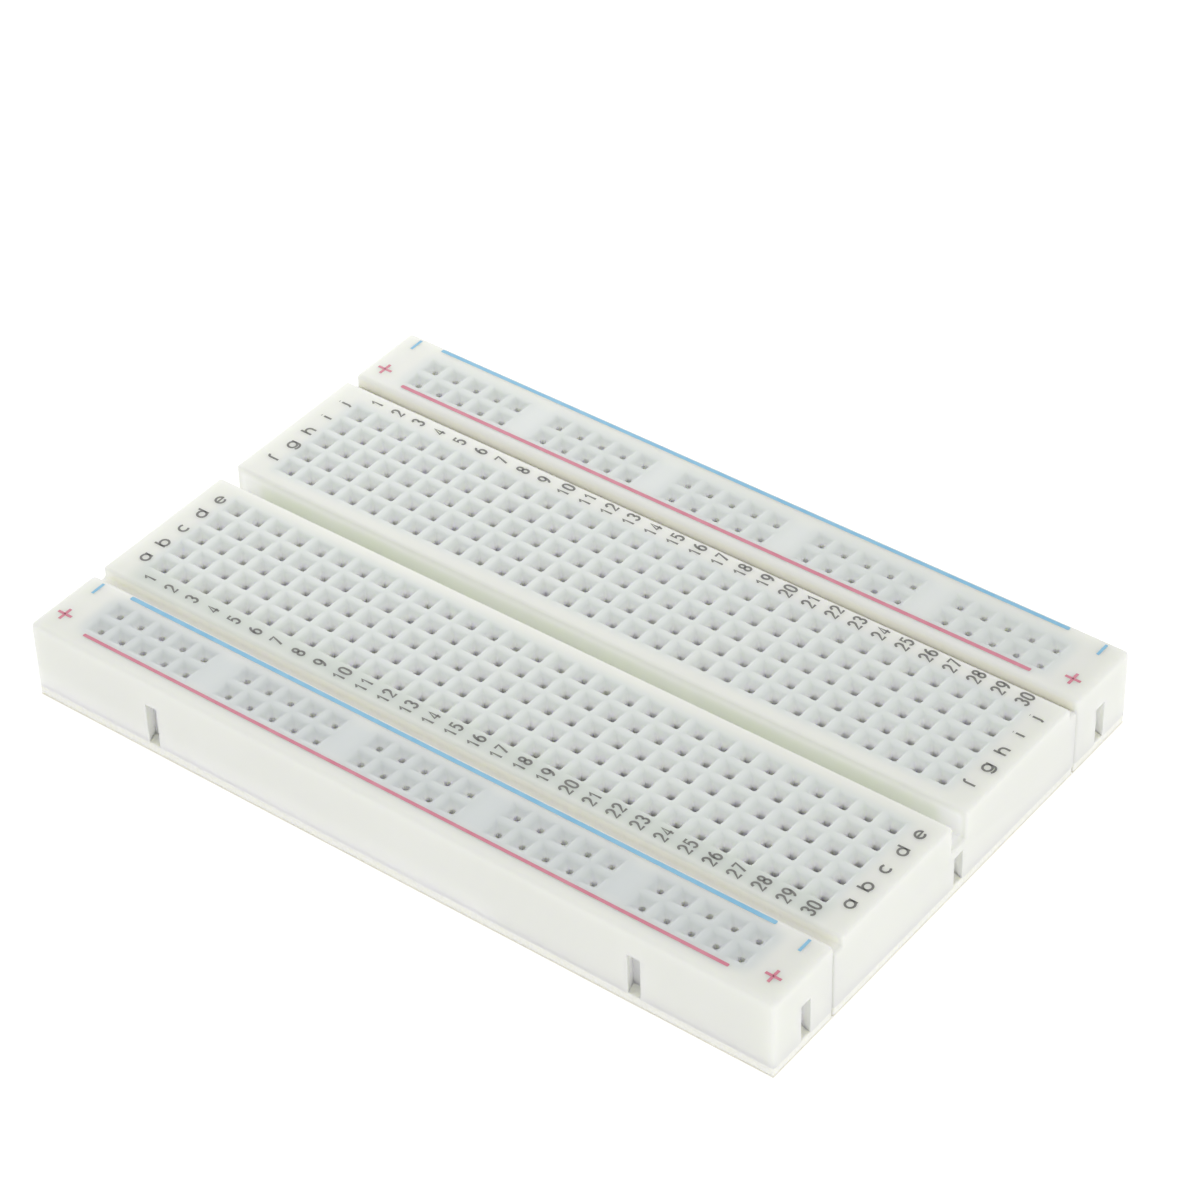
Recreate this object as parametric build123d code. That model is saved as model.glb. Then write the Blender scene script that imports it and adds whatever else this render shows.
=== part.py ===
from build123d import *
import os

# Solderless breadboard with 400 tie points: a terminal strip between two bus strips.
# Each strip is a moulded body with sprung metal contacts in pockets that open downwards.
# A foam pad with a peel-off liner closes the pockets. The strips hang on each other by
# dovetail tabs in slots that are open at the bottom, so a strip lifts off upwards.
# Millimetres. The origin is the middle of the underside, +X runs from column 1 to
# column 30, +Y from row a to row j, and +Z is up.

os.makedirs("parts", exist_ok=True)

# Tie-point grid
pitch = 2.54
columns = 30
rows_per_side = 5
channel_rows = 3            # row e to row f is this many pitches, for a 0.3 in wide chip
bus_groups = 5
holes_per_group = 5
rows_per_bus = 2

# Moulded bodies
body_height = 7.4
end_margin = 4.37           # from the first and last column to the end faces
side_margin = 4.63          # from rows a and j to the terminal strip's sides
bus_inner_margin = 2.75     # from a bus strip's inner side to its nearest row of holes
bus_outer_margin = 3.31
strip_gap = 0.05            # between the side walls of neighbouring strips
ledge_width = 1.15          # step down along both long sides of the terminal strip
ledge_depth = 1.1
channel_width = 2.2
channel_depth = 3.0

# Tie-point holes: a square funnel, then a square throat into the pocket
funnel_rim = 1.66
funnel_depth = 0.87
throat = 0.8
roof_thickness = 1.5

# Pockets in the bodies, and the hollow under the channel
pocket_width = 1.7
pocket_overhang = 1.1       # from the last hole's centre to the pocket's end
core_wall = 1.2
core_width = 3.4
core_ribs = 5

# Dovetail slots and tabs
slot_mouth = 1.35
slot_depth = 1.35
slot_flare = 0.3            # widening on each side for each millimetre of depth
tab_side_clearance = 0.1
tab_end_clearance = 0.15
tab_top_clearance = 0.1
side_hook_spacing = 53.8
side_slot_top = 2.8         # below the top of the body
bus_end_slot_top = 3.3
terminal_end_slot_top = 4.0

# Sprung contacts, folded from sheet
sheet = 0.2
clip_clearance = 0.1        # from the contact to the pocket's walls
finger_width = 1.9
clip_wall_height = 1.0      # height of the unslotted part of the trough
clip_knee_height = 2.4
pinch_gap = 0.1
pinch_below_roof = 1.1
tip_below_roof = 0.2
tip_opening = 0.8

# Foam and liner
pad_thickness = 1.0
pad_inset = 0.1
liner_thickness = 0.1

# Heights above the surface that the board rests on
pad_bottom = liner_thickness
body_bottom = pad_bottom + pad_thickness
body_top = body_bottom + body_height
pocket_top = body_top - roof_thickness

# Places and outer sizes of the rows, columns and strips
strip_length = (columns - 1) * pitch + 2 * end_margin
terminal_width = (channel_rows + 2 * (rows_per_side - 1)) * pitch + 2 * side_margin
bus_width = (rows_per_bus - 1) * pitch + bus_inner_margin + bus_outer_margin
column_xs = [(column - (columns - 1) / 2) * pitch for column in range(columns)]
side_centre_y = (channel_rows + rows_per_side - 1) / 2 * pitch
row_offsets = [(row - (rows_per_side - 1) / 2) * pitch for row in range(rows_per_side)]
bus_steps = bus_groups * (holes_per_group + 1) - 2
bus_hole_xs = [
    (group * (holes_per_group + 1) + hole - bus_steps / 2) * pitch
    for group in range(bus_groups)
    for hole in range(holes_per_group)
]
bus_inner_y = terminal_width / 2 + strip_gap
bus_centre_y = bus_inner_y + bus_width / 2
bus_row_ys = [bus_inner_y + bus_inner_margin + row * pitch for row in range(rows_per_bus)]
bus_hook_y = sum(bus_row_ys) / rows_per_bus
side_hook_xs = (-side_hook_spacing / 2, side_hook_spacing / 2)
over = 0.5                  # how far a cutting tool runs past the face that it opens


def block(x0, x1, y0, y1, z0, z1):
    """A box between two corners."""
    size = (x1 - x0, y1 - y0, z1 - z0)
    return Pos(x0, y0, z0) * Box(*size, align=(Align.MIN, Align.MIN, Align.MIN))


def hole_tool():
    """The cutter for one tie point: funnel, throat, and into the pocket."""
    slope = (funnel_rim - throat) / 2 / funnel_depth
    wide = funnel_rim + 2 * slope * over
    floor = Plane.XY.offset(body_top - funnel_depth)
    rim = Plane.XY.offset(body_top + over)
    funnel = loft([floor * Rectangle(throat, throat), rim * Rectangle(wide, wide)])
    half = throat / 2
    return funnel + block(-half, half, -half, half, pocket_top - over, body_top - funnel_depth)


def dovetail(mouth, depth, bottom, top):
    """A prism that widens along +Y from a mouth on the plane Y = 0."""
    root = mouth / 2
    head = root + slot_flare * depth
    outline = Polyline((-root, 0), (root, 0), (head, depth), (-head, depth), close=True)
    return extrude(Plane.XY.offset(bottom) * make_face(outline), top - bottom)


def slot_tool(top_below):
    """The cutter for a slot that is open at the bottom of its body."""
    return dovetail(slot_mouth, slot_depth, -over, body_top - top_below)


def tab(top_below):
    """The tab that hangs in such a slot."""
    neck = slot_mouth - 2 * tab_side_clearance
    reach = slot_depth - tab_end_clearance
    return dovetail(neck, reach, body_bottom, body_top - top_below - tab_top_clearance)


def side_places(y):
    """Where the tabs and slots of a long side on the plane Y = y stand."""
    return [Pos(x, y, 0) for x in side_hook_xs]


def end_place(x, y):
    """Where a tab or slot of an end face stands, pointing along -X."""
    return Pos(x, y, 0) * Rot(0, 0, 90)


def bent_sheet(points):
    """The section of a folded sheet whose middle follows the points."""
    path = [Vector(*point) for point in points]
    runs = [(after - before).normalized() for before, after in zip(path, path[1:])]
    normals = [Vector(-run.Y, run.X) for run in runs]
    mitres = [normals[0]]
    for before, after in zip(normals, normals[1:]):
        mitres.append((before + after) * (1 / (1 + before.dot(after))))
    mitres.append(normals[-1])
    one_side = [point + mitre * (sheet / 2) for point, mitre in zip(path, mitres)]
    other_side = [point - mitre * (sheet / 2) for point, mitre in zip(path, mitres)]
    return make_face(Polyline(*one_side, *reversed(other_side), close=True))


def contact(hole_ys, pocket_length):
    """A sprung contact along Y with a pair of leaves under each hole."""
    wall_x = (pocket_width - sheet) / 2 - clip_clearance
    half = [
        (wall_x, body_bottom + sheet / 2),
        (wall_x, body_bottom + clip_knee_height),
        ((pinch_gap + sheet) / 2, pocket_top - pinch_below_roof),
        ((tip_opening + sheet) / 2, pocket_top - tip_below_roof),
    ]
    section = bent_sheet([(-x, z) for x, z in reversed(half)] + half)
    length = pocket_length - 2 * clip_clearance
    trough = extrude(Plane.XZ * section, length / 2, both=True)
    edges = [-length / 2 - over]
    for y in hole_ys:
        edges += [y - finger_width / 2, y + finger_width / 2]
    edges.append(length / 2 + over)
    low = body_bottom + clip_wall_height
    gaps = [
        block(-pocket_width, pocket_width, edges[i], edges[i + 1], low, body_top)
        for i in range(0, len(edges), 2)
    ]
    return trough - gaps


def pad(width, y, bottom, thickness, tools):
    """A foam pad or its liner under one strip, cut out where the tabs pass."""
    half_length = strip_length / 2 - pad_inset
    half_width = width / 2 - pad_inset
    sheet_block = block(
        -half_length, half_length, y - half_width, y + half_width, bottom, bottom + thickness
    )
    return sheet_block - tools if tools else sheet_block


def strip_body(width, y, end_slot_top, end_hook_y):
    """A moulded body with its tabs and slots, before its holes are cut."""
    half_length = strip_length / 2
    front = y - width / 2
    rear = y + width / 2
    body = block(-half_length, half_length, front, rear, body_bottom, body_top)
    body += [place * tab(side_slot_top) for place in side_places(rear)]
    body += end_place(-half_length, end_hook_y) * tab(end_slot_top)
    slots = [place * slot_tool(side_slot_top) for place in side_places(front)]
    slots.append(end_place(half_length, end_hook_y) * slot_tool(end_slot_top))
    return body - slots


def terminal_body():
    """The terminal strip: 30 columns of five holes on each side of the channel."""
    half_length = strip_length / 2
    half_width = terminal_width / 2
    half_pocket = pocket_width / 2
    pocket_length = terminal_pocket_length()
    body = strip_body(terminal_width, 0, terminal_end_slot_top, 0)
    long = half_length + over
    channel_floor = body_top - channel_depth
    tools = [block(-long, long, -channel_width / 2, channel_width / 2, channel_floor, body_top + over)]
    for side in (-1, 1):
        ledge = sorted((side * (half_width - ledge_width), side * (half_width + over)))
        tools.append(block(-long, long, *ledge, body_top - ledge_depth, body_top + over))
    core_end = half_length - slot_depth - core_wall
    core_pitch = (2 * core_end + core_wall) / core_ribs
    for rib in range(core_ribs):
        start = -core_end + rib * core_pitch
        tools.append(block(
            start, start + core_pitch - core_wall, -core_width / 2, core_width / 2,
            body_bottom - over, channel_floor - core_wall
        ))
    hole = hole_tool()
    for x in column_xs:
        for centre in (-side_centre_y, side_centre_y):
            tools.append(block(
                x - half_pocket, x + half_pocket, centre - pocket_length / 2,
                centre + pocket_length / 2, body_bottom - over, pocket_top
            ))
            tools += [Pos(x, centre + offset, 0) * hole for offset in row_offsets]
    return body - tools


def bus_body(side):
    """A bus strip: two rows of holes in groups of five over two long pockets."""
    body = strip_body(bus_width, side * bus_centre_y, bus_end_slot_top, side * bus_hook_y)
    half_pocket = pocket_width / 2
    half_rail = bus_pocket_length() / 2
    hole = hole_tool()
    tools = []
    for y in [side * row_y for row_y in bus_row_ys]:
        tools.append(block(
            -half_rail, half_rail, y - half_pocket, y + half_pocket, body_bottom - over, pocket_top
        ))
        tools += [Pos(x, y, 0) * hole for x in bus_hole_xs]
    return body - tools


def terminal_pocket_length():
    return row_offsets[-1] - row_offsets[0] + 2 * pocket_overhang


def bus_pocket_length():
    return bus_hole_xs[-1] - bus_hole_xs[0] + 2 * pocket_overhang


def write(shape, name):
    export_step(shape, f"parts/{name}.step")


# Moulded bodies
write(bus_body(-1), "front_bus_body")
write(terminal_body(), "terminal_body")
write(bus_body(1), "rear_bus_body")

# Foam pads and liners. The two rear strips lift past the tabs of the strip in front.
terminal_front_y = -terminal_width / 2
strips = {
    "front_bus": (bus_width, -bus_centre_y, None),
    "terminal": (terminal_width, 0, terminal_front_y),
    "rear_bus": (bus_width, bus_centre_y, bus_inner_y),
}
for strip, (width, y, tab_side_y) in strips.items():
    tools = []
    if tab_side_y is not None:
        tools = [place * slot_tool(side_slot_top) for place in side_places(tab_side_y)]
    write(pad(width, y, pad_bottom, pad_thickness, tools), f"{strip}_foam_pad")
    write(pad(width, y, 0, liner_thickness, tools), f"{strip}_liner")

# Terminal contacts: one for holes a to e and one for holes f to j of each column
column_clip = contact(row_offsets, terminal_pocket_length())
for number, x in enumerate(column_xs, start=1):
    pair = [Pos(x, centre, 0) * column_clip for centre in (-side_centre_y, side_centre_y)]
    write(Compound(pair), f"clip_column_{number:02d}")

# Bus contacts: one rail under each row of holes
bus_rail = Rot(0, 0, -90) * contact(bus_hole_xs, bus_pocket_length())
rail_names = {
    "front_minus_rail": -bus_row_ys[0],
    "front_plus_rail": -bus_row_ys[1],
    "rear_plus_rail": bus_row_ys[0],
    "rear_minus_rail": bus_row_ys[1],
}
for name, y in rail_names.items():
    write(Pos(0, y, 0) * bus_rail, name)
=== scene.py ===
import math
import bmesh
import bpy
from mathutils import Matrix, Vector


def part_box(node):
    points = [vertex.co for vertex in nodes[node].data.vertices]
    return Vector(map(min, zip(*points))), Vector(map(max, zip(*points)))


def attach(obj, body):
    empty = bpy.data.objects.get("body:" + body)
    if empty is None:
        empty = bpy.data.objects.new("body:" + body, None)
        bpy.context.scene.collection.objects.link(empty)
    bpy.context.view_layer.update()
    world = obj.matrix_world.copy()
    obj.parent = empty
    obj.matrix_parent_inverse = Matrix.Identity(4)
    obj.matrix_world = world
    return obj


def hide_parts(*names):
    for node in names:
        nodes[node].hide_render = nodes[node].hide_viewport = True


# A solderless breadboard on a white table in even light: three moulded ABS strips, pad-printed
# scales and power lines, sprung contacts under the holes, foam pads and their liners.
# Meshes are drawn in millimetres and shrunk to metres when they are finished.
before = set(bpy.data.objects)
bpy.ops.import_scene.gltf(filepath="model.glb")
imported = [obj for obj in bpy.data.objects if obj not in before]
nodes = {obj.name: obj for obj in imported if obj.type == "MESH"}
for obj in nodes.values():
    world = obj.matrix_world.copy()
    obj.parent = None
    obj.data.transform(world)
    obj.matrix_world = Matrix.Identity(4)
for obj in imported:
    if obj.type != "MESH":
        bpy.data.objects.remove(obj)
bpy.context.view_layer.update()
mm = 0.001
touching = 0.001    # mm, for corners that lie on the same plane
print("frame loaded:", len(nodes), "nodes")


# Places, read from the frame where it has them

def boxOf(node):
    low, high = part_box(node)
    return low / mm, high / mm


def middleOf(node):
    low, high = boxOf(node)
    return (low + high) / 2


grid = {
    "pitch": 2.54,            # tie points stand on a tenth of an inch
    "rows": 5,                # on each side of the channel
    "groups": 5,              # along a bus strip
    "perGroup": 5,
}
clipNames = sorted(name for name in nodes if name.startswith("clip_column_"))
railNames = sorted(name for name in nodes if name.endswith("_rail"))
columnXs = [middleOf(name).x for name in clipNames]
terminalLow, terminalHigh = boxOf("terminal_body")
topZ = terminalHigh.z
bottomZ = terminalLow.z
halfLength = terminalHigh.x
halfTerminal = -terminalLow.y           # the front side has no tabs
busInner = boxOf("rear_bus_body")[0].y
busOuter = -boxOf("front_bus_body")[0].y
firstRow = 1.5 * grid["pitch"]          # rows e and f stand three pitches apart
rowYs = [firstRow + row * grid["pitch"] for row in range(grid["rows"])]
busSteps = grid["groups"] * (grid["perGroup"] + 1) - 2
busXs = [
    (group * (grid["perGroup"] + 1) + hole - busSteps / 2) * grid["pitch"]
    for group in range(grid["groups"])
    for hole in range(grid["perGroup"])
]
busRowYs = sorted(middleOf(name).y for name in railNames if name.startswith("rear"))


# Small tools

def near(a, b):
    return abs(a - b) < touching


def smoothShade(mesh):
    mesh.shade_smooth()
    mesh.set_sharp_from_angle(angle=math.radians(35))


def newMesh(bm, name, material):
    # shrinks a finished bmesh to metres and links it
    bmesh.ops.scale(bm, vec=(mm, mm, mm), verts=bm.verts)
    mesh = bpy.data.meshes.new(name)
    bm.to_mesh(mesh)
    bm.free()
    smoothShade(mesh)
    mesh.materials.append(material)
    piece = bpy.data.objects.new(name, mesh)
    bpy.context.scene.collection.objects.link(piece)
    return piece


def applyModifiers(piece):
    depsgraph = bpy.context.evaluated_depsgraph_get()
    mesh = bpy.data.meshes.new_from_object(piece.evaluated_get(depsgraph))
    mesh.name = piece.name
    piece.modifiers.clear()
    piece.data = mesh


def cutOrJoin(piece, other, operation):
    # a boolean that uses its second piece up
    change = piece.modifiers.new(operation, "BOOLEAN")
    change.operation = operation
    change.object = other
    change.solver = "EXACT"
    applyModifiers(piece)
    bpy.data.objects.remove(other)


def roundedPath(corners, steps=3):
    # corners are (y, z, radius); a right-angled corner with a radius becomes an arc
    points = []
    for index, (y, z, radius) in enumerate(corners):
        here = Vector((y, z))
        if not radius:
            points.append(here)
            continue
        before = (here - Vector(corners[index - 1][:2])).normalized()
        after = (Vector(corners[index + 1][:2]) - here).normalized()
        for step in range(steps + 1):
            turn = math.radians(90) * step / steps
            backwards = before * radius * (1 - math.sin(turn))
            onwards = after * radius * (1 - math.cos(turn))
            points.append(here - backwards + onwards)
    return points


def roundEdges(bm, edges, radius, segments=3):
    bmesh.ops.bevel(bm, geom=edges, offset=radius, offset_type="OFFSET", segments=segments,
                    profile=0.5, affect="EDGES", material=-1)


def block(bm, low, high):
    low, high = Vector(low), Vector(high)
    made = bmesh.ops.create_cube(bm, size=1)["verts"]
    bmesh.ops.scale(bm, vec=high - low, verts=made)
    bmesh.ops.translate(bm, vec=(low + high) / 2, verts=made)
    return made


def rectangle(bm, x0, x1, y0, y1, z):
    corners = [bm.verts.new(point) for point in ((x0, y0, z), (x1, y0, z), (x1, y1, z), (x0, y1, z))]
    return [bm.edges.new((corners[i], corners[(i + 1) % 4])) for i in range(4)]


# Colours and materials

def paint(hexColour):
    # sRGB hex to linear
    parts = [int(hexColour[i:i + 2], 16) / 255 for i in (0, 2, 4)]
    return tuple(p / 12.92 if p <= 0.04045 else ((p + 0.055) / 1.055) ** 2.4 for p in parts) + (1,)


def addNode(tree, kind, settings=None, links=None):
    node = tree.nodes.new(kind)
    for key, value in (settings or {}).items():
        if hasattr(node, str(key)):
            setattr(node, key, value)
        else:
            node.inputs[key].default_value = value
    for key, source in (links or {}).items():
        tree.links.new(source, node.inputs[key])
    return node


def startMaterial(name):
    material = bpy.data.materials.new(name)
    material.use_nodes = True
    material.node_tree.nodes.clear()
    return material, material.node_tree


plastic = {
    "colours": ("e4e5df", "e9eae4"),
    "roughness": 0.42,
    "milk": 1.8,              # mm that light gets in
    "clouds": 9,              # mm across a flow mark
    "grain": 0.25,            # mm across the mould texture, coarser than the real one so that it shows
}
# painted shade and light, laid into the plastic's base colour in soft-edged boxes
paintedShadeAndLight = {
    # colour, how much of it, and over how many mm it fades out
    "contactShade": ("d9dedb", 1.0, 1.4),          # painted shade: the contacts' shadow seen through the thin roof over them
    # painted shade on the front band between row a and the ledge
    "frontNumbersShade": ("d2d8d1", 0.9, 2.2),
    # painted shade of the rails seen through the bus strips' roof, deeper over each group of holes and on
    # the front strip
    "frontGapShade": ("d6dbda", 1.0, 2.4),
    "frontGroupShade": ("cfd4d3", 1.0, 2.0),
    "rearGapShade": ("e0e4e1", 1.0, 2.4),
    "rearGroupShade": ("d5dad7", 1.0, 2.0),
    "hollow": ("fcfdfa", 1.2, 1.0),         # painted light inside openings, where thin walls let light through
    "channel": ("f0f4e8", 1.2, 1.4),        # painted light: the deep channel is paler and yellow-green, as light bouncing between its walls makes it
    # painted light along the ledges, lifting the shade in their corners
    "ledge": ("f4f4ec", 1.2, 0.5),
    "facing": ("ecebe0", 1.2, 0.5),         # painted light with a tan tint on the bus walls that face the ledges
    "foot": ("f4f5f0", 0.8, 4.0),           # painted light: the table lights the foot of the front wall
}


def moulded(name, zones):
    # injection-moulded ABS, natural milky grade: satin skin, and light gets a millimetre or two in.
    # What lies behind a thin wall shows through as painted shade and light, tones painted into the base
    # colour. A zone is the name of a tone and two opposite corners of its box in mm.
    material, tree = startMaterial(name)
    place = addNode(tree, "ShaderNodeTexCoord")
    inMm = addNode(tree, "ShaderNodeVectorMath", {"operation": "SCALE", "Scale": 1 / mm},
                   {0: place.outputs["Object"]})
    clouds = addNode(tree, "ShaderNodeTexNoise", {"Scale": 1 / plastic["clouds"], "Detail": 3.0},
                     {"Vector": inMm.outputs[0]})
    dark, light = (paint(colour) for colour in plastic["colours"])
    body = addNode(tree, "ShaderNodeMix", {"data_type": "RGBA", 6: dark, 7: light},
                   {0: clouds.outputs["Fac"]})
    # the clouds are about 0.5 on average, so this is about 1
    patchy = addNode(tree, "ShaderNodeMath", {"operation": "ADD", 1: 0.5}, {0: clouds.outputs["Fac"]})
    # each zone paints its shade or light into the base colour
    for toneName, low, high in zones:
        colour, much, softness = paintedShadeAndLight[toneName]
        centre = (Vector(low) + Vector(high)) / 2
        half = (Vector(high) - Vector(low)) / 2
        soft = Vector((softness, softness, softness)) / 2
        offset = addNode(tree, "ShaderNodeVectorMath", {"operation": "SUBTRACT", 1: centre},
                         {0: inMm.outputs[0]})
        distance = addNode(tree, "ShaderNodeVectorMath", {"operation": "ABSOLUTE"}, {0: offset.outputs[0]})
        # 1 inside the box and 0 outside along each axis, with how much of the tone in the third
        inside = addNode(tree, "ShaderNodeMapRange",
                         {"data_type": "FLOAT_VECTOR", "interpolation_type": "SMOOTHSTEP",
                          7: half + soft, 8: half - soft, 10: (1, 1, much)},
                         {6: distance.outputs[0]})
        axes = addNode(tree, "ShaderNodeSeparateXYZ", {}, {0: inside.outputs["Vector"]})
        flat = addNode(tree, "ShaderNodeMath", {"operation": "MULTIPLY"},
                       {0: axes.outputs["X"], 1: axes.outputs["Y"]})
        deep = addNode(tree, "ShaderNodeMath", {"operation": "MULTIPLY"},
                       {0: flat.outputs[0], 1: axes.outputs["Z"]})
        amount = addNode(tree, "ShaderNodeMath", {"operation": "MULTIPLY"},
                         {0: deep.outputs[0], 1: patchy.outputs[0]})
        body = addNode(tree, "ShaderNodeMix", {"data_type": "RGBA", 7: paint(colour)},
                       {0: amount.outputs[0], 6: body.outputs[2]})
    grain = addNode(tree, "ShaderNodeTexNoise", {"Scale": 1 / plastic["grain"], "Detail": 2.0},
                    {"Vector": inMm.outputs[0]})
    bump = addNode(tree, "ShaderNodeBump", {"Strength": 0.12, "Distance": 0.01 * mm},
                   {"Height": grain.outputs["Fac"]})
    shader = addNode(tree, "ShaderNodeBsdfPrincipled",
                     {"Roughness": plastic["roughness"], "IOR": 1.54, "Subsurface Weight": 0.8,
                      "Subsurface Radius": (1.0, 1.05, 0.85), "Subsurface Scale": plastic["milk"] * mm},
                     {"Base Color": body.outputs[2], "Normal": bump.outputs[0]})
    addNode(tree, "ShaderNodeOutputMaterial", {}, {"Surface": shader.outputs[0]})
    return material


bronze = {
    "colours": ("b4b0a8", "cfcbc1"),
    "roughness": 0.38,
    "markLength": 1.2,        # mm
    "markWidth": 0.1,         # mm, coarser than the real ones so that they show
}


def contactMetal():
    # phosphor bronze strip with a dull nickel plate, and rolling marks along it
    material, tree = startMaterial("nickelPlatedBronze")
    place = addNode(tree, "ShaderNodeTexCoord")
    slim = bronze["markLength"] / bronze["markWidth"]
    stretch = addNode(tree, "ShaderNodeMapping", {"Scale": (1.0, slim, slim)},
                      {"Vector": place.outputs["Object"]})
    grain = addNode(tree, "ShaderNodeTexNoise", {"Scale": 1 / (bronze["markLength"] * mm), "Detail": 4.0},
                    {"Vector": stretch.outputs[0]})
    dark, light = (paint(colour) for colour in bronze["colours"])
    tone = addNode(tree, "ShaderNodeMix", {"data_type": "RGBA", 6: dark, 7: light},
                   {0: grain.outputs["Fac"]})
    bump = addNode(tree, "ShaderNodeBump", {"Strength": 0.2, "Distance": 0.01 * mm},
                   {"Height": grain.outputs["Fac"]})
    shader = addNode(tree, "ShaderNodeBsdfPrincipled", {"Metallic": 1.0, "Roughness": bronze["roughness"]},
                     {"Base Color": tone.outputs[2], "Normal": bump.outputs[0]})
    addNode(tree, "ShaderNodeOutputMaterial", {}, {"Surface": shader.outputs[0]})
    return material


tape = {
    "colours": ("f6f6f0", "eeeee4"),
    "roughness": 0.85,
    "cell": 0.3,              # mm across
    "milk": 0.5,              # mm that light gets in
}


def foamTape():
    # closed-cell polyethylene foam, off-white and matt, with the cells just to be seen
    material, tree = startMaterial("closedCellFoam")
    place = addNode(tree, "ShaderNodeTexCoord")
    cells = addNode(tree, "ShaderNodeTexVoronoi", {"Scale": 1 / (tape["cell"] * mm)},
                    {"Vector": place.outputs["Object"]})
    light, dark = (paint(colour) for colour in tape["colours"])
    tone = addNode(tree, "ShaderNodeMix", {"data_type": "RGBA", 6: light, 7: dark},
                   {0: cells.outputs["Distance"]})
    bump = addNode(tree, "ShaderNodeBump", {"Strength": 0.5, "Distance": 0.08 * mm},
                   {"Height": cells.outputs["Distance"]})
    shader = addNode(tree, "ShaderNodeBsdfPrincipled",
                     {"Roughness": tape["roughness"], "IOR": 1.5, "Subsurface Weight": 0.4,
                      "Subsurface Radius": (1.0, 1.0, 0.6), "Subsurface Scale": tape["milk"] * mm},
                     {"Base Color": tone.outputs[2], "Normal": bump.outputs[0]})
    addNode(tree, "ShaderNodeOutputMaterial", {}, {"Surface": shader.outputs[0]})
    return material


paper = {
    "colours": ("efece0", "f6f4ec"),
    "roughness": 0.35,
    "fibre": 2.5,             # mm long
    "slim": 4.0,              # a fibre's length over its width
}


def releasePaper():
    # glassine liner, smooth and slightly waxy, with the paper's fibres showing through
    material, tree = startMaterial("glassineLiner")
    place = addNode(tree, "ShaderNodeTexCoord")
    stretch = addNode(tree, "ShaderNodeMapping", {"Scale": (1.0, paper["slim"], 1.0)},
                      {"Vector": place.outputs["Object"]})
    fibres = addNode(tree, "ShaderNodeTexNoise", {"Scale": 1 / (paper["fibre"] * mm), "Detail": 6.0},
                     {"Vector": stretch.outputs[0]})
    dark, light = (paint(colour) for colour in paper["colours"])
    tone = addNode(tree, "ShaderNodeMix", {"data_type": "RGBA", 6: dark, 7: light},
                   {0: fibres.outputs["Fac"]})
    bump = addNode(tree, "ShaderNodeBump", {"Strength": 0.15, "Distance": 0.02 * mm},
                   {"Height": fibres.outputs["Fac"]})
    shader = addNode(tree, "ShaderNodeBsdfPrincipled",
                     {"Roughness": paper["roughness"], "IOR": 1.5, "Coat Weight": 0.2,
                      "Coat Roughness": 0.25},
                     {"Base Color": tone.outputs[2], "Normal": bump.outputs[0]})
    addNode(tree, "ShaderNodeOutputMaterial", {}, {"Surface": shader.outputs[0]})
    return material


inkFilm = {
    "dark": ("5c5c5a", "8a8a86"),
    "blue": ("6db0d6", "9acbe4"),
    "red": ("c9657c", "dc96a6"),
    "roughness": 0.5,
    "patch": 1.5,             # mm across
}


def ink(name):
    # pad-printing ink, in patches where the pad left more or less of it
    material, tree = startMaterial(name + "Ink")
    place = addNode(tree, "ShaderNodeTexCoord")
    patches = addNode(tree, "ShaderNodeTexNoise",
                      {"Scale": 1 / (inkFilm["patch"] * mm), "Detail": 5.0, "Roughness": 0.6},
                      {"Vector": place.outputs["Object"]})
    dark, light = (paint(colour) for colour in inkFilm[name])
    tone = addNode(tree, "ShaderNodeMix", {"data_type": "RGBA", 6: dark, 7: light},
                   {0: patches.outputs["Fac"]})
    shader = addNode(tree, "ShaderNodeBsdfPrincipled", {"Roughness": inkFilm["roughness"], "IOR": 1.5},
                     {"Base Color": tone.outputs[2]})
    addNode(tree, "ShaderNodeOutputMaterial", {}, {"Surface": shader.outputs[0]})
    return material


metalMaterial = contactMetal()
foamMaterial = foamTape()
linerMaterial = releasePaper()
inks = {name: ink(name) for name in ("dark", "blue", "red")}
print("materials made")


# Moulded strips

mould = {
    "funnelRim": 1.76,        # square mouth of a tie point
    "funnelDepth": 0.87,
    "busFunnelDepth": 0.62,
    "throat": 0.8,
    "busThroat": 0.62,
    "roof": 1.5,              # from the top down to the pockets
    "rimRound": 0.24,
    "outerRound": 0.5,        # long edges
    "innerRound": 0.3,        # edges of the channel and the ledges
    "cornerFill": 0.2,        # hollow corners
    "endRound": 0.25,         # around the terminal strip's end faces
    "busEndRound": 0.42,
    "ledgeWidth": 1.15,
    "ledgeDepth": 1.1,
    "channelWidth": 2.2,
    "channelDepth": 3.0,
    "pocketWidth": 1.7,
    "pocketOverhang": 1.1,    # past the last hole's centre
}
hooks = {
    "mouth": 1.35,            # slot opening
    "depth": 1.35,
    "flare": 0.3,             # widening on each side for each millimetre of depth
    "sideClearance": 0.1,
    "topClearance": 0.1,
    "tabReach": 1.2,          # how far the tabs stand out of the rear and left sides
    "sideX": 26.9,            # of the two in a long side, from the middle
    "sideTop": 2.8,           # below the top
    "busEndTop": 3.3,
    "terminalEndTop": 4.0,
    "cutPast": 1.0,           # below the underside
}


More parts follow.
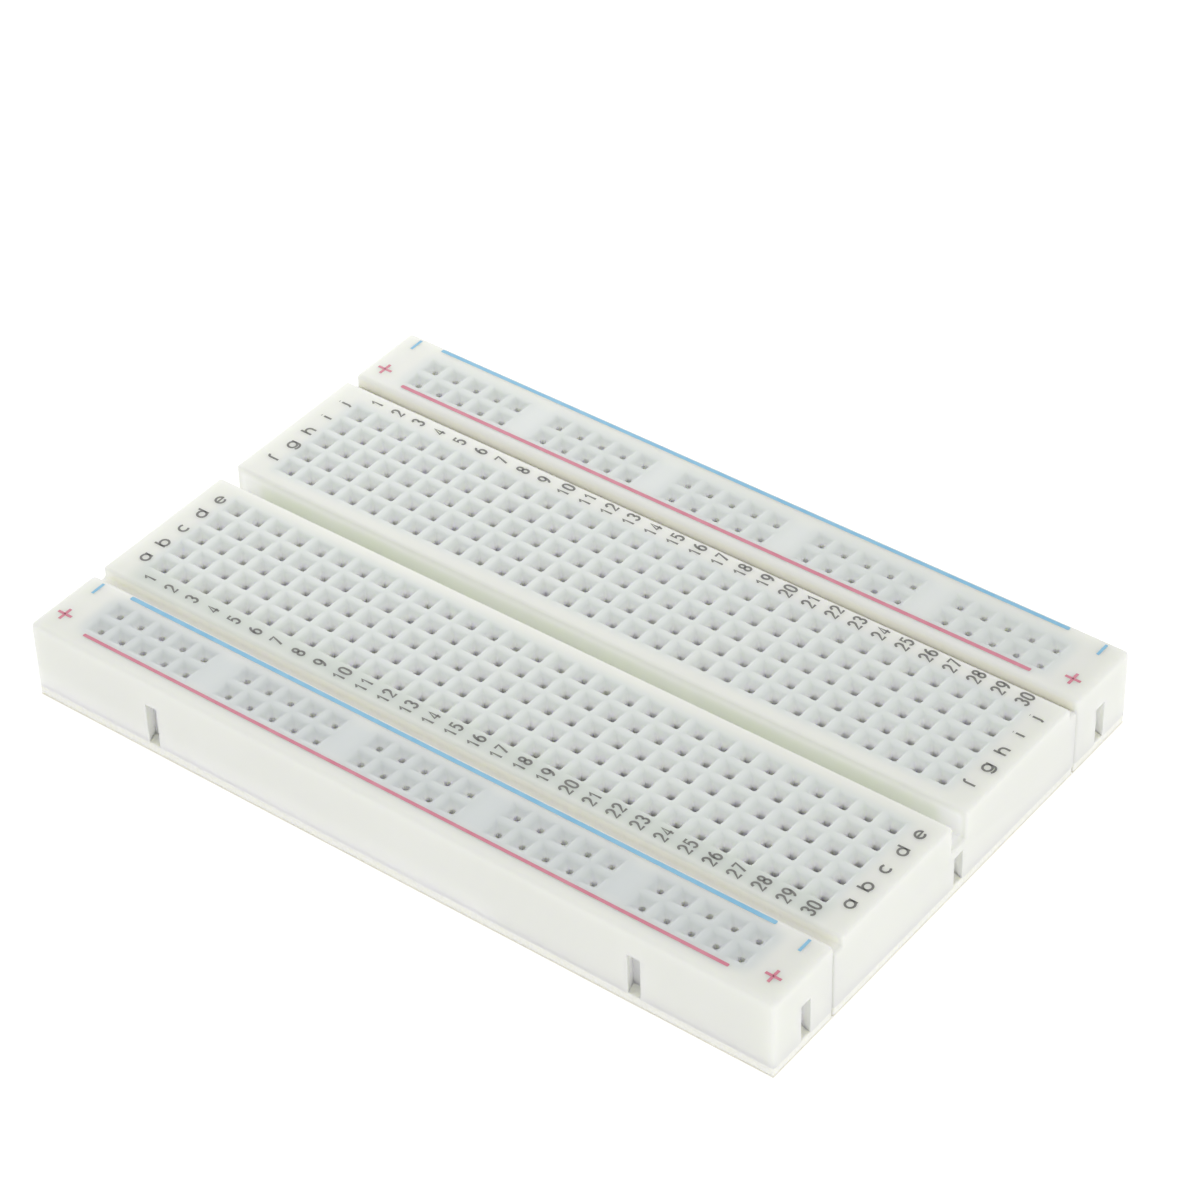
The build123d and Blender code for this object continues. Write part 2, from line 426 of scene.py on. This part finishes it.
def tiePoints(bm, holes, throat, funnelDepth):
    # every hole starts as one square of the skin: mouth, funnel and throat
    wanted = {(round(x, 2), round(y, 2)) for x, y in holes}
    cells = []
    for face in bm.faces:
        centre = face.calc_center_median()
        if near(centre.z, topZ) and (round(centre.x, 2), round(centre.y, 2)) in wanted:
            cells.append(face)
    rim = (grid["pitch"] - mould["funnelRim"]) / 2
    bmesh.ops.inset_individual(bm, faces=cells, thickness=rim, use_even_offset=True)
    rimEdges = list({edge for face in cells for edge in face.edges})
    slope = (mould["funnelRim"] - throat) / 2
    bmesh.ops.inset_individual(bm, faces=cells, thickness=slope, depth=-funnelDepth, use_even_offset=True)
    slopeCorners = [edge for face in cells for v in face.verts for edge in v.link_edges
                    if edge.other_vert(v).co.z > v.co.z + touching]
    down = bmesh.ops.extrude_discrete_faces(bm, faces=cells)["faces"]
    drop = mould["roof"] - funnelDepth
    bmesh.ops.translate(bm, vec=(0, 0, -drop), verts=list({v for face in down for v in face.verts}))
    bmesh.ops.delete(bm, geom=down, context="FACES_ONLY")
    roundEdges(bm, rimEdges + slopeCorners, mould["rimRound"], 2)


def closePockets(bm, pockets):
    # roofs with their throats, walls, and last the underside around all the pockets
    roofZ = topZ - mould["roof"]
    floorEdges = []
    for x0, x1, y0, y1 in pockets:
        throats = [
            edge for edge in bm.edges
            if edge.is_boundary and all(near(v.co.z, roofZ) and x0 < v.co.x < x1 and y0 < v.co.y < y1
                                        for v in edge.verts)
        ]
        outline = rectangle(bm, x0, x1, y0, y1, roofZ)
        bmesh.ops.triangle_fill(bm, edges=throats + outline, use_beauty=True, normal=(0, 0, -1))
        floorEdges += wallsDown(bm, outline, roofZ)
    outside = [edge for edge in bm.edges if edge.is_boundary and edge not in floorEdges
               and all(near(v.co.z, bottomZ) for v in edge.verts)]
    bmesh.ops.triangle_fill(bm, edges=outside + floorEdges, use_beauty=True, normal=(0, 0, -1))


def wallsDown(bm, outline, fromZ):
    # returns the edges where the walls end, at the underside
    made = bmesh.ops.extrude_edge_only(bm, edges=outline)["geom"]
    low = [item for item in made if isinstance(item, bmesh.types.BMVert)]
    bmesh.ops.translate(bm, vec=(0, 0, bottomZ - fromZ), verts=low)
    return [edge for edge in made if isinstance(edge, bmesh.types.BMEdge)
            and all(v in low for v in edge.verts)]


def closeEnds(bm, xEnd, endRound):
    # the outline of the strip becomes its end face, with a rounded edge
    chain = [edge for edge in bm.edges
             if edge.is_boundary and all(near(v.co.x, xEnd) for v in edge.verts)]
    feet = sorted((v for v in {v for edge in chain for v in edge.verts} if near(v.co.z, bottomZ)),
                  key=lambda v: v.co.y)
    closing = bm.edges.new((feet[0], feet[-1]))
    bmesh.ops.contextual_create(bm, geom=chain + [closing])
    roundEdges(bm, chain, endRound)


def stripSkin(profile, xLines):
    # one sheet of squares bent to the strip's outline and spread over its lines
    bm = bmesh.new()
    bmesh.ops.create_grid(bm, x_segments=len(xLines) - 1, y_segments=len(profile) - 1, size=1)
    for v in bm.verts:
        i = round((v.co.x + 1) / 2 * (len(xLines) - 1))
        j = round((v.co.y + 1) / 2 * (len(profile) - 1))
        v.co = Vector((xLines[i], profile[j].x, profile[j].y))
    return bm


def dovetails(places, mouth, depth, lowZ, topsBelow):
    # prisms that widen inwards; a place is (x, y, quarter turns)
    bm = bmesh.new()
    for (x, y, turns), below in zip(places, topsBelow):
        made = block(bm, (-mouth / 2, 0, lowZ), (mouth / 2, depth, topZ - below))
        wide = [v for v in made if v.co.y > depth / 2]
        bmesh.ops.scale(bm, vec=(1 + 2 * hooks["flare"] * depth / mouth, 1, 1), verts=wide)
        bmesh.ops.rotate(bm, verts=made, matrix=Matrix.Rotation(math.radians(90 * turns), 3, "Z"))
        bmesh.ops.translate(bm, vec=(x, y, 0), verts=made)
    return bm


def mouldedStrip(name, material, skin, openings, endRound, hookPlaces):
    profile, xLines = skin
    holes, throat, funnelDepth, pockets = openings
    front, rear, endY, endTop = hookPlaces
    bm = stripSkin(profile, xLines)
    tiePoints(bm, holes, throat, funnelDepth)
    for xEnd in (xLines[0], xLines[-1]):
        closeEnds(bm, xEnd, endRound)
    closePockets(bm, pockets)
    bmesh.ops.triangulate(bm, faces=[face for face in bm.faces if len(face.verts) > 4])
    bmesh.ops.recalc_face_normals(bm, faces=bm.faces)
    piece = newMesh(bm, name, material)
    below = [hooks["sideTop"], hooks["sideTop"], endTop]
    slotPlaces = [(-hooks["sideX"], front, 0), (hooks["sideX"], front, 0), (halfLength, endY, 1)]
    tabPlaces = [(-hooks["sideX"], rear, 0), (hooks["sideX"], rear, 0), (-halfLength, endY, 1)]
    slots = dovetails(slotPlaces, hooks["mouth"], hooks["depth"], bottomZ - hooks["cutPast"], below)
    neck = hooks["mouth"] - 2 * hooks["sideClearance"]
    tabTops = [top + hooks["topClearance"] for top in below]
    tabs = dovetails(tabPlaces, neck, hooks["tabReach"], bottomZ, tabTops)
    cutOrJoin(piece, newMesh(slots, "slots", material), "DIFFERENCE")
    cutOrJoin(piece, newMesh(tabs, "tabs", material), "UNION")
    smoothShade(piece.data)
    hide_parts(name.replace("_moulding", "_body"))
    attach(piece, name.replace("_moulding", ""))
    print(name, "has", len(piece.data.polygons), "faces")


def terminalStrip():
    half = mould["pocketWidth"] / 2
    over = mould["pocketOverhang"]
    inner = halfTerminal - mould["ledgeWidth"]
    ledgeZ = topZ - mould["ledgeDepth"]
    channel = mould["channelWidth"] / 2
    channelZ = topZ - mould["channelDepth"]
    borders = [firstRow + (row - 0.5) * grid["pitch"] for row in range(grid["rows"] + 1)]
    frontHalf = [(-halfTerminal, bottomZ, 0), (-halfTerminal, ledgeZ, mould["innerRound"]),
                 (-inner, ledgeZ, mould["cornerFill"]), (-inner, topZ, mould["innerRound"])]
    frontHalf += [(-y, topZ, 0) for y in reversed(borders)]
    frontHalf += [(-channel, topZ, mould["innerRound"]), (-channel, channelZ, mould["cornerFill"])]
    corners = frontHalf + [(-y, z, radius) for y, z, radius in reversed(frontHalf)]
    xLines = [columnXs[0] - grid["pitch"] / 2] + [x + grid["pitch"] / 2 for x in columnXs]
    xLines = [-halfLength] + xLines + [halfLength]
    sides = [(rowYs[0] - over, rowYs[-1] + over), (-rowYs[-1] - over, -rowYs[0] + over)]
    pockets = [(x - half, x + half, y0, y1) for x in columnXs for y0, y1 in sides]
    holes = [(x, side * y) for x in columnXs for y in rowYs for side in (-1, 1)]
    skin = (roundedPath(corners), xLines)
    openings = (holes, mould["throat"], mould["funnelDepth"], pockets)
    hookPlaces = (-halfTerminal, halfTerminal, 0, hooks["terminalEndTop"])
    mouldedStrip("terminal_moulding", terminalAbs, skin, openings, mould["endRound"], hookPlaces)


def busStrip(name, side, material):
    half = mould["pocketWidth"] / 2
    over = mould["pocketOverhang"]
    low, high = sorted((side * busInner, side * busOuter))
    rows = sorted(side * y for y in busRowYs)
    borders = [rows[0] - grid["pitch"] / 2, sum(rows) / 2, rows[1] + grid["pitch"] / 2]
    corners = [(low, bottomZ, 0), (low, topZ, mould["outerRound"])]
    corners += [(y, topZ, 0) for y in borders]
    corners += [(high, topZ, mould["outerRound"]), (high, bottomZ, 0)]
    inside = [busXs[0] - grid["pitch"] / 2 + step * grid["pitch"] for step in range(busSteps + 2)]
    xLines = [-halfLength] + inside + [halfLength]
    pockets = [(busXs[0] - over, busXs[-1] + over, y - half, y + half) for y in rows]
    holes = [(x, y) for x in busXs for y in rows]
    skin = (roundedPath(corners), xLines)
    openings = (holes, mould["busThroat"], mould["busFunnelDepth"], pockets)
    hookPlaces = (low, high, sum(rows) / 2, hooks["busEndTop"])
    mouldedStrip(name, material, skin, openings, mould["busEndRound"], hookPlaces)


margins = {
    "beyond": 9,              # past the strip's end, clear of the board
    "holeEnd": 1.5,           # past the centres of the outermost holes
    "clipInner": 1.4,         # from row e or f towards the channel
    "busRow": 1.3,            # past the centres of a bus strip's rows
    "numbers": 0.2,           # past the centres of row a
    "channelSide": 0.2,
    "channelFrom": 0.9,       # below the top
    "channelTo": 4,
    "ledgeSide": 0.1,         # into the wall above the ledge
    "ledgeEnd": 0.5,          # short of the strip's end
    "ledgeTop": 0.4,          # below the top
    "facingOut": 1,           # out of the bus strip's inner face, and into it
    "facingIn": 0.3,
    "skin": 0.6,              # a hollow begins this far below the outside
    "footX": 12,              # the foot's tone runs from the left end to here
    "footDepth": 3,           # in from the front side
    "footHeight": 1.2,        # above the underside
}


def hollowZone(low, high):
    # painted light on the surfaces that lie deeper than the skin inside the strip
    skin = margins["skin"]
    return ("hollow", (-halfLength + skin, low + skin, -halfLength - margins["beyond"]),
            (halfLength - skin, high - skin, topZ - skin))


def sideZone(toneName, low, high):
    # along a ledge or the wall that faces it
    end = halfLength - margins["ledgeEnd"]
    far = halfLength + margins["beyond"]
    return (toneName, (-end, low, -far), (end, high, topZ - margins["ledgeTop"]))


def terminalZones():
    channel = mould["channelWidth"] / 2 + margins["channelSide"]
    ledge = halfTerminal - mould["ledgeWidth"] - margins["ledgeSide"]
    field = columnXs[-1] + margins["holeEnd"]
    inner = rowYs[0] - margins["clipInner"]
    outer = rowYs[-1] + margins["holeEnd"]
    far = halfLength + margins["beyond"]
    numbers = rowYs[-1] + margins["numbers"]
    # painted shade over the contacts and the front band; painted light in the hollows, the channel and
    # along the ledges
    return [
        ("contactShade", (-field, inner, bottomZ), (field, outer, far)),
        ("contactShade", (-field, -outer, bottomZ), (field, -inner, far)),
        ("frontNumbersShade", (-field, -ledge, bottomZ), (field, -numbers, far)),
        hollowZone(-halfTerminal, halfTerminal),
        # painted light in the channel
        ("channel", (-field, -channel, topZ - margins["channelTo"]),
         (field, channel, topZ - margins["channelFrom"])),
        sideZone("ledge", -far, -ledge),
        sideZone("ledge", ledge, far),
    ]


def busZones(side, gap, group):
    rows = sorted(side * y for y in busRowYs)
    low, high = sorted((side * busInner, side * busOuter))
    faced = sorted((side * (busInner - margins["facingOut"]), side * (busInner + margins["facingIn"])))
    field = busXs[-1] + margins["holeEnd"]
    rowLow = rows[0] - margins["busRow"]
    rowHigh = rows[1] + margins["busRow"]
    far = halfLength + margins["beyond"]
    count = grid["perGroup"]
    halfGroup = count * grid["pitch"] / 2
    middles = [sum(busXs[i:i + count]) / count for i in range(0, len(busXs), count)]
    # painted shade over the rows of holes, deeper over each group of them
    zones = [(gap, (-field, rowLow, bottomZ), (field, rowHigh, far))]
    zones += [(group, (x - halfGroup, rowLow, bottomZ), (x + halfGroup, rowHigh, far)) for x in middles]
    zones += [hollowZone(low, high), sideZone("facing", *faced)]
    if side < 0:
        # painted light at the foot of the front wall, near the table
        zones.append(("foot", (-far, -far, -far),
                      (margins["footX"], margins["footDepth"] - busOuter, bottomZ + margins["footHeight"])))
    return zones


terminalAbs = moulded("terminalAbs", terminalZones())
frontBusAbs = moulded("frontBusAbs", busZones(-1, "frontGapShade", "frontGroupShade"))
rearBusAbs = moulded("rearBusAbs", busZones(1, "rearGapShade", "rearGroupShade"))
terminalStrip()
busStrip("front_bus_moulding", -1, frontBusAbs)
busStrip("rear_bus_moulding", 1, rearBusAbs)


# Foam pads, cut by hand, so their edges are a little soft

foam = {
    "edgeRound": 0.15,
    "notchPast": 1.0,         # above and below the pad
}


def foamPad(strip, frontY):
    low, high = boxOf(strip + "_foam_pad")
    bm = bmesh.new()
    block(bm, low, high)
    roundEdges(bm, list(bm.edges), foam["edgeRound"])
    pad = newMesh(bm, strip + "_foam", foamMaterial)
    if frontY is not None:
        places = [(-hooks["sideX"], frontY, 0), (hooks["sideX"], frontY, 0)]
        notches = dovetails(places, hooks["mouth"], hooks["depth"], low.z - foam["notchPast"],
                            [topZ - high.z - foam["notchPast"]] * 2)
        cutOrJoin(pad, newMesh(notches, "notches", foamMaterial), "DIFFERENCE")
    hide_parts(strip + "_foam_pad")
    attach(pad, strip)


foamPad("front_bus", None)
foamPad("terminal", -halfTerminal)
foamPad("rear_bus", busInner)
print("foam pads made")


# The contacts and liners keep their own shapes

for name in clipNames + railNames:
    nodes[name].data.materials.clear()
    nodes[name].data.materials.append(metalMaterial)
for strip in ("front_bus", "terminal", "rear_bus"):
    nodes[strip + "_liner"].data.materials.clear()
    nodes[strip + "_liner"].data.materials.append(linerMaterial)


# Printed scales. A glyph is drawn with pen strokes in a box one unit wide and one high.

def bend(cx, cy, rx, ry, start, end, steps=9):
    angles = [math.radians(start + (end - start) * step / steps) for step in range(steps + 1)]
    return [(cx + rx * math.cos(a), cy + ry * math.sin(a)) for a in angles]


def ring(cx, cy, rx, ry):
    return bend(cx, cy, rx, ry, 90, 450, 16)


digits = {
    "0": [bend(0.5, 0.66, 0.5, 0.34, 0, 180) + bend(0.5, 0.34, 0.5, 0.34, 180, 360) + [(1, 0.66)]],
    "1": [[(0.15, 0.74), (0.58, 1.0), (0.58, 0.0)]],
    "2": [bend(0.5, 0.7, 0.46, 0.3, 170, -35) + [(0.02, 0.0), (1.0, 0.0)]],
    "3": [bend(0.47, 0.75, 0.42, 0.25, 160, -80), bend(0.47, 0.27, 0.5, 0.27, 80, -160)],
    "4": [[(1.0, 0.26), (0.0, 0.26), (0.7, 1.0), (0.7, 0.0)]],
    "5": [[(0.9, 1.0), (0.16, 1.0), (0.08, 0.52)] + bend(0.46, 0.33, 0.5, 0.33, 120, -150)],
    "6": [ring(0.5, 0.31, 0.48, 0.31), bend(0.72, 0.34, 0.7, 0.66, 95, 180)],
    "7": [[(0.0, 1.0), (1.0, 1.0), (0.36, 0.0)]],
    "8": [ring(0.5, 0.75, 0.4, 0.25), ring(0.5, 0.26, 0.48, 0.26)],
    "9": [ring(0.5, 0.69, 0.48, 0.31), bend(0.28, 0.66, 0.7, 0.66, -85, 0)],
}
letters = {
    "a": [ring(0.5, 0.5, 0.5, 0.5), [(1.0, 1.0), (1.0, 0.0)]],
    "b": [ring(0.5, 0.5, 0.5, 0.5), [(0.0, 1.4), (0.0, 0.0)]],
    "c": [bend(0.55, 0.5, 0.5, 0.5, 50, 310, 12)],
    "d": [ring(0.5, 0.5, 0.5, 0.5), [(1.0, 1.4), (1.0, 0.0)]],
    "e": [[(0.06, 0.52), (1.0, 0.52)] + bend(0.5, 0.5, 0.5, 0.5, 3, 318, 14)],
    "f": [bend(0.78, 1.1, 0.3, 0.3, 80, 180, 5) + [(0.48, 0.0)]],
    "g": [ring(0.5, 0.5, 0.5, 0.5), [(1.0, 1.0), (1.0, 0.02)] + bend(0.5, 0.0, 0.5, 0.34, 0, -150)],
    "h": [[(0.06, 1.4), (0.06, 0.0)], bend(0.48, 0.56, 0.42, 0.44, 180, 0) + [(0.9, 0.0)]],
    "i": [[(0.5, 1.0), (0.5, 0.0)], [(0.5, 1.36), (0.5, 1.3)]],
    "j": [[(0.6, 1.0), (0.6, 0.0), (0.44, -0.3)], [(0.6, 1.36), (0.6, 1.3)]],
}
signs = {"+": [[(0, 0.5), (1, 0.5)], [(0.5, 0), (0.5, 1)]], "-": [[(0, 0.5), (1, 0.5)]]}
printing = {
    # mm
    "number": {"height": 1.25, "width": 0.56, "gap": 0.32, "stroke": 0.23},
    "letter": {"height": 0.88, "width": 0.9, "gap": 0.3, "stroke": 0.23},
    "sign": {"height": 1.6, "width": 1.6, "gap": 0.3, "stroke": 0.3},
    "spread": 1.022,          # the letters stand a little wider than the rows
    "flatness": 0.1,          # of a stroke's round section, so that the ink is about 0.01 mm proud
    "numbers": {"front": (0.25, -16.13), "rear": (0.35, 16.3)},      # along from the column, and y
    "letters": {"left": (-38.95, 0.15), "right": (39.43, 0.4)},      # x, and across from the row
}


def write(strokes, glyphs, style, text, x, y):
    # the writing reads along +Y, with its top towards -X
    step = style["width"] + style["gap"]
    start = y - (len(text) * step - style["gap"]) / 2
    for place, letter in enumerate(text):
        for pen in glyphs[letter]:
            strokes.append([(x - (v - 0.5) * style["height"], start + place * step + u * style["width"])
                            for u, v in pen])


def printed(name, body, strokes, style, material):
    line = bpy.data.curves.new(name, "CURVE")
    line.dimensions = "3D"
    line.bevel_depth = style["stroke"] / 2
    line.bevel_resolution = 1
    line.use_fill_caps = True
    for stroke in strokes:
        spline = line.splines.new("POLY")
        spline.points.add(len(stroke) - 1)
        for point, (x, y) in zip(spline.points, stroke):
            point.co = (x, y, 0, 1)
    pen = bpy.data.objects.new(name + "Line", line)
    mesh = bpy.data.meshes.new_from_object(pen)
    bm = bmesh.new()
    bm.from_mesh(mesh)
    bmesh.ops.remove_doubles(bm, verts=bm.verts, dist=touching)      # closes the caps
    bmesh.ops.scale(bm, vec=(1, 1, printing["flatness"]), verts=bm.verts)
    bmesh.ops.translate(bm, vec=(0, 0, topZ), verts=bm.verts)
    bmesh.ops.recalc_face_normals(bm, faces=bm.faces)
    bpy.data.objects.remove(pen)
    piece = newMesh(bm, name, material)
    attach(piece, body)


for side, (shift, y) in printing["numbers"].items():
    strokes = []
    for number, x in enumerate(columnXs, start=1):
        write(strokes, digits, printing["number"], str(number), x + shift, y)
    printed(side + "_column_numbers", "terminal", strokes, printing["number"], inks["dark"])
allRowYs = [-y for y in reversed(rowYs)] + rowYs
for side, (x, shift) in printing["letters"].items():
    strokes = []
    for letter, y in zip(letters, allRowYs):
        write(strokes, letters, printing["letter"], letter, x, y * printing["spread"] + shift)
    printed(side + "_row_letters", "terminal", strokes, printing["letter"], inks["dark"])

power = {
    # strip, colour: the line's y, both ends and width, then its sign and the sign's y
    ("front_bus", "blue"): (-19.25, -36.1, 35.8, 0.46, "-", -20.05),
    ("front_bus", "red"): (-25.6, -36.1, 35.5, 0.36, "+", -24.45),
    ("rear_bus", "red"): (19.85, -36.4, 35.5, 0.42, "+", 21.05),
    ("rear_bus", "blue"): (26.6, -36.8, 35.3, 0.42, "-", 25.87),
}
powerInk = {
    "thickness": 0.02,        # half of it is below the surface
    "cornerRound": 0.3,       # of the line's width
    "signXs": (-39.45, 39.15),
}


def powerLine(strip, colour, y, x0, x1, width, sign, signY):
    half = powerInk["thickness"] / 2
    bm = bmesh.new()
    block(bm, (x0, y - width / 2, topZ - half), (x1, y + width / 2, topZ + half))
    corners = [edge for edge in bm.edges if not near(edge.verts[0].co.z, edge.verts[1].co.z)]
    roundEdges(bm, corners, width * powerInk["cornerRound"])
    stripe = newMesh(bm, f"{strip}_{colour}_line", inks[colour])
    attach(stripe, strip)
    strokes = []
    for x in powerInk["signXs"]:
        write(strokes, signs, printing["sign"], sign, x, signY)
    printed(f"{strip}_{colour}_signs", strip, strokes, printing["sign"], inks[colour])


for (strip, colour), measures in power.items():
    powerLine(strip, colour, *measures)
print("printing made")


# Table, light and camera

room = {
    "tableSize": 4.0,         # m
    "tableDrop": 0.02,        # mm below the liners, so that the two don't lie in one plane
    "tableGlow": 0.3,
    "skyLight": 0.86,
    "window": ((-130, 110, 110), 120, 0.06),    # place and size in mm, then watts
    "fill": ((330, -40, 70), 160, 0.08),
}


def studio():
    bm = bmesh.new()
    bmesh.ops.create_grid(bm, x_segments=1, y_segments=1, size=room["tableSize"] / 2)
    mesh = bpy.data.meshes.new("table")
    bm.to_mesh(mesh)
    bm.free()
    table = bpy.data.objects.new("table", mesh)
    table.location.z = -room["tableDrop"] * mm
    bpy.context.scene.collection.objects.link(table)
    material, tree = startMaterial("whiteTable")
    shader = addNode(tree, "ShaderNodeBsdfPrincipled",
                     {"Base Color": paint("f6f6f6"), "Roughness": 0.9,
                      "Emission Color": (1, 1, 1, 1), "Emission Strength": room["tableGlow"]})
    addNode(tree, "ShaderNodeOutputMaterial", {}, {"Surface": shader.outputs[0]})
    table.data.materials.append(material)
    world = bpy.data.worlds.new("tent")
    world.use_nodes = True
    sky = world.node_tree.nodes["Background"]
    sky.inputs["Color"].default_value = (1, 1, 1, 1)
    sky.inputs["Strength"].default_value = room["skyLight"]
    bpy.context.scene.world = world
    for name in ("window", "fill"):
        place, size, watts = room[name]
        data = bpy.data.lights.new(name, "AREA")
        data.size = size * mm
        data.energy = watts
        lamp = bpy.data.objects.new(name, data)
        lamp.location = Vector(place) * mm
        lamp.rotation_euler = (-Vector(place)).to_track_quat("-Z", "Y").to_euler()
        lamp.visible_camera = False
        bpy.context.scene.collection.objects.link(lamp)


lens = {
    "azimuth": 38.367,        # degrees
    "elevation": 39.848,
    "roll": -1.733,
    "distance": 373.7,        # mm
    "aim": (-1.27, 5.35),     # mm, on the board's top
    "focal": 123.95,          # mm
    "clip": (0.01, 20),       # m
}


def placeCamera():
    azimuth, elevation, roll = (math.radians(lens[key]) for key in ("azimuth", "elevation", "roll"))
    back = Vector((math.sin(azimuth) * math.cos(elevation), -math.cos(azimuth) * math.cos(elevation),
                   math.sin(elevation)))
    right = Vector((math.cos(azimuth), math.sin(azimuth), 0))
    up = back.cross(right)
    tiltedRight = right * math.cos(roll) + up * math.sin(roll)
    tiltedUp = up * math.cos(roll) - right * math.sin(roll)
    data = bpy.data.cameras.new("camera")
    data.lens = lens["focal"]
    data.clip_start, data.clip_end = lens["clip"]
    camera = bpy.data.objects.new("camera", data)
    aim = Vector((*lens["aim"], topZ))
    turn = Matrix((tiltedRight, tiltedUp, back)).transposed().to_4x4()
    camera.matrix_world = Matrix.Translation((aim + back * lens["distance"]) * mm) @ turn
    bpy.context.scene.collection.objects.link(camera)
    bpy.context.scene.camera = camera
    bpy.context.scene.view_settings.view_transform = "Standard"


studio()
placeCamera()
print("table, light and camera placed")
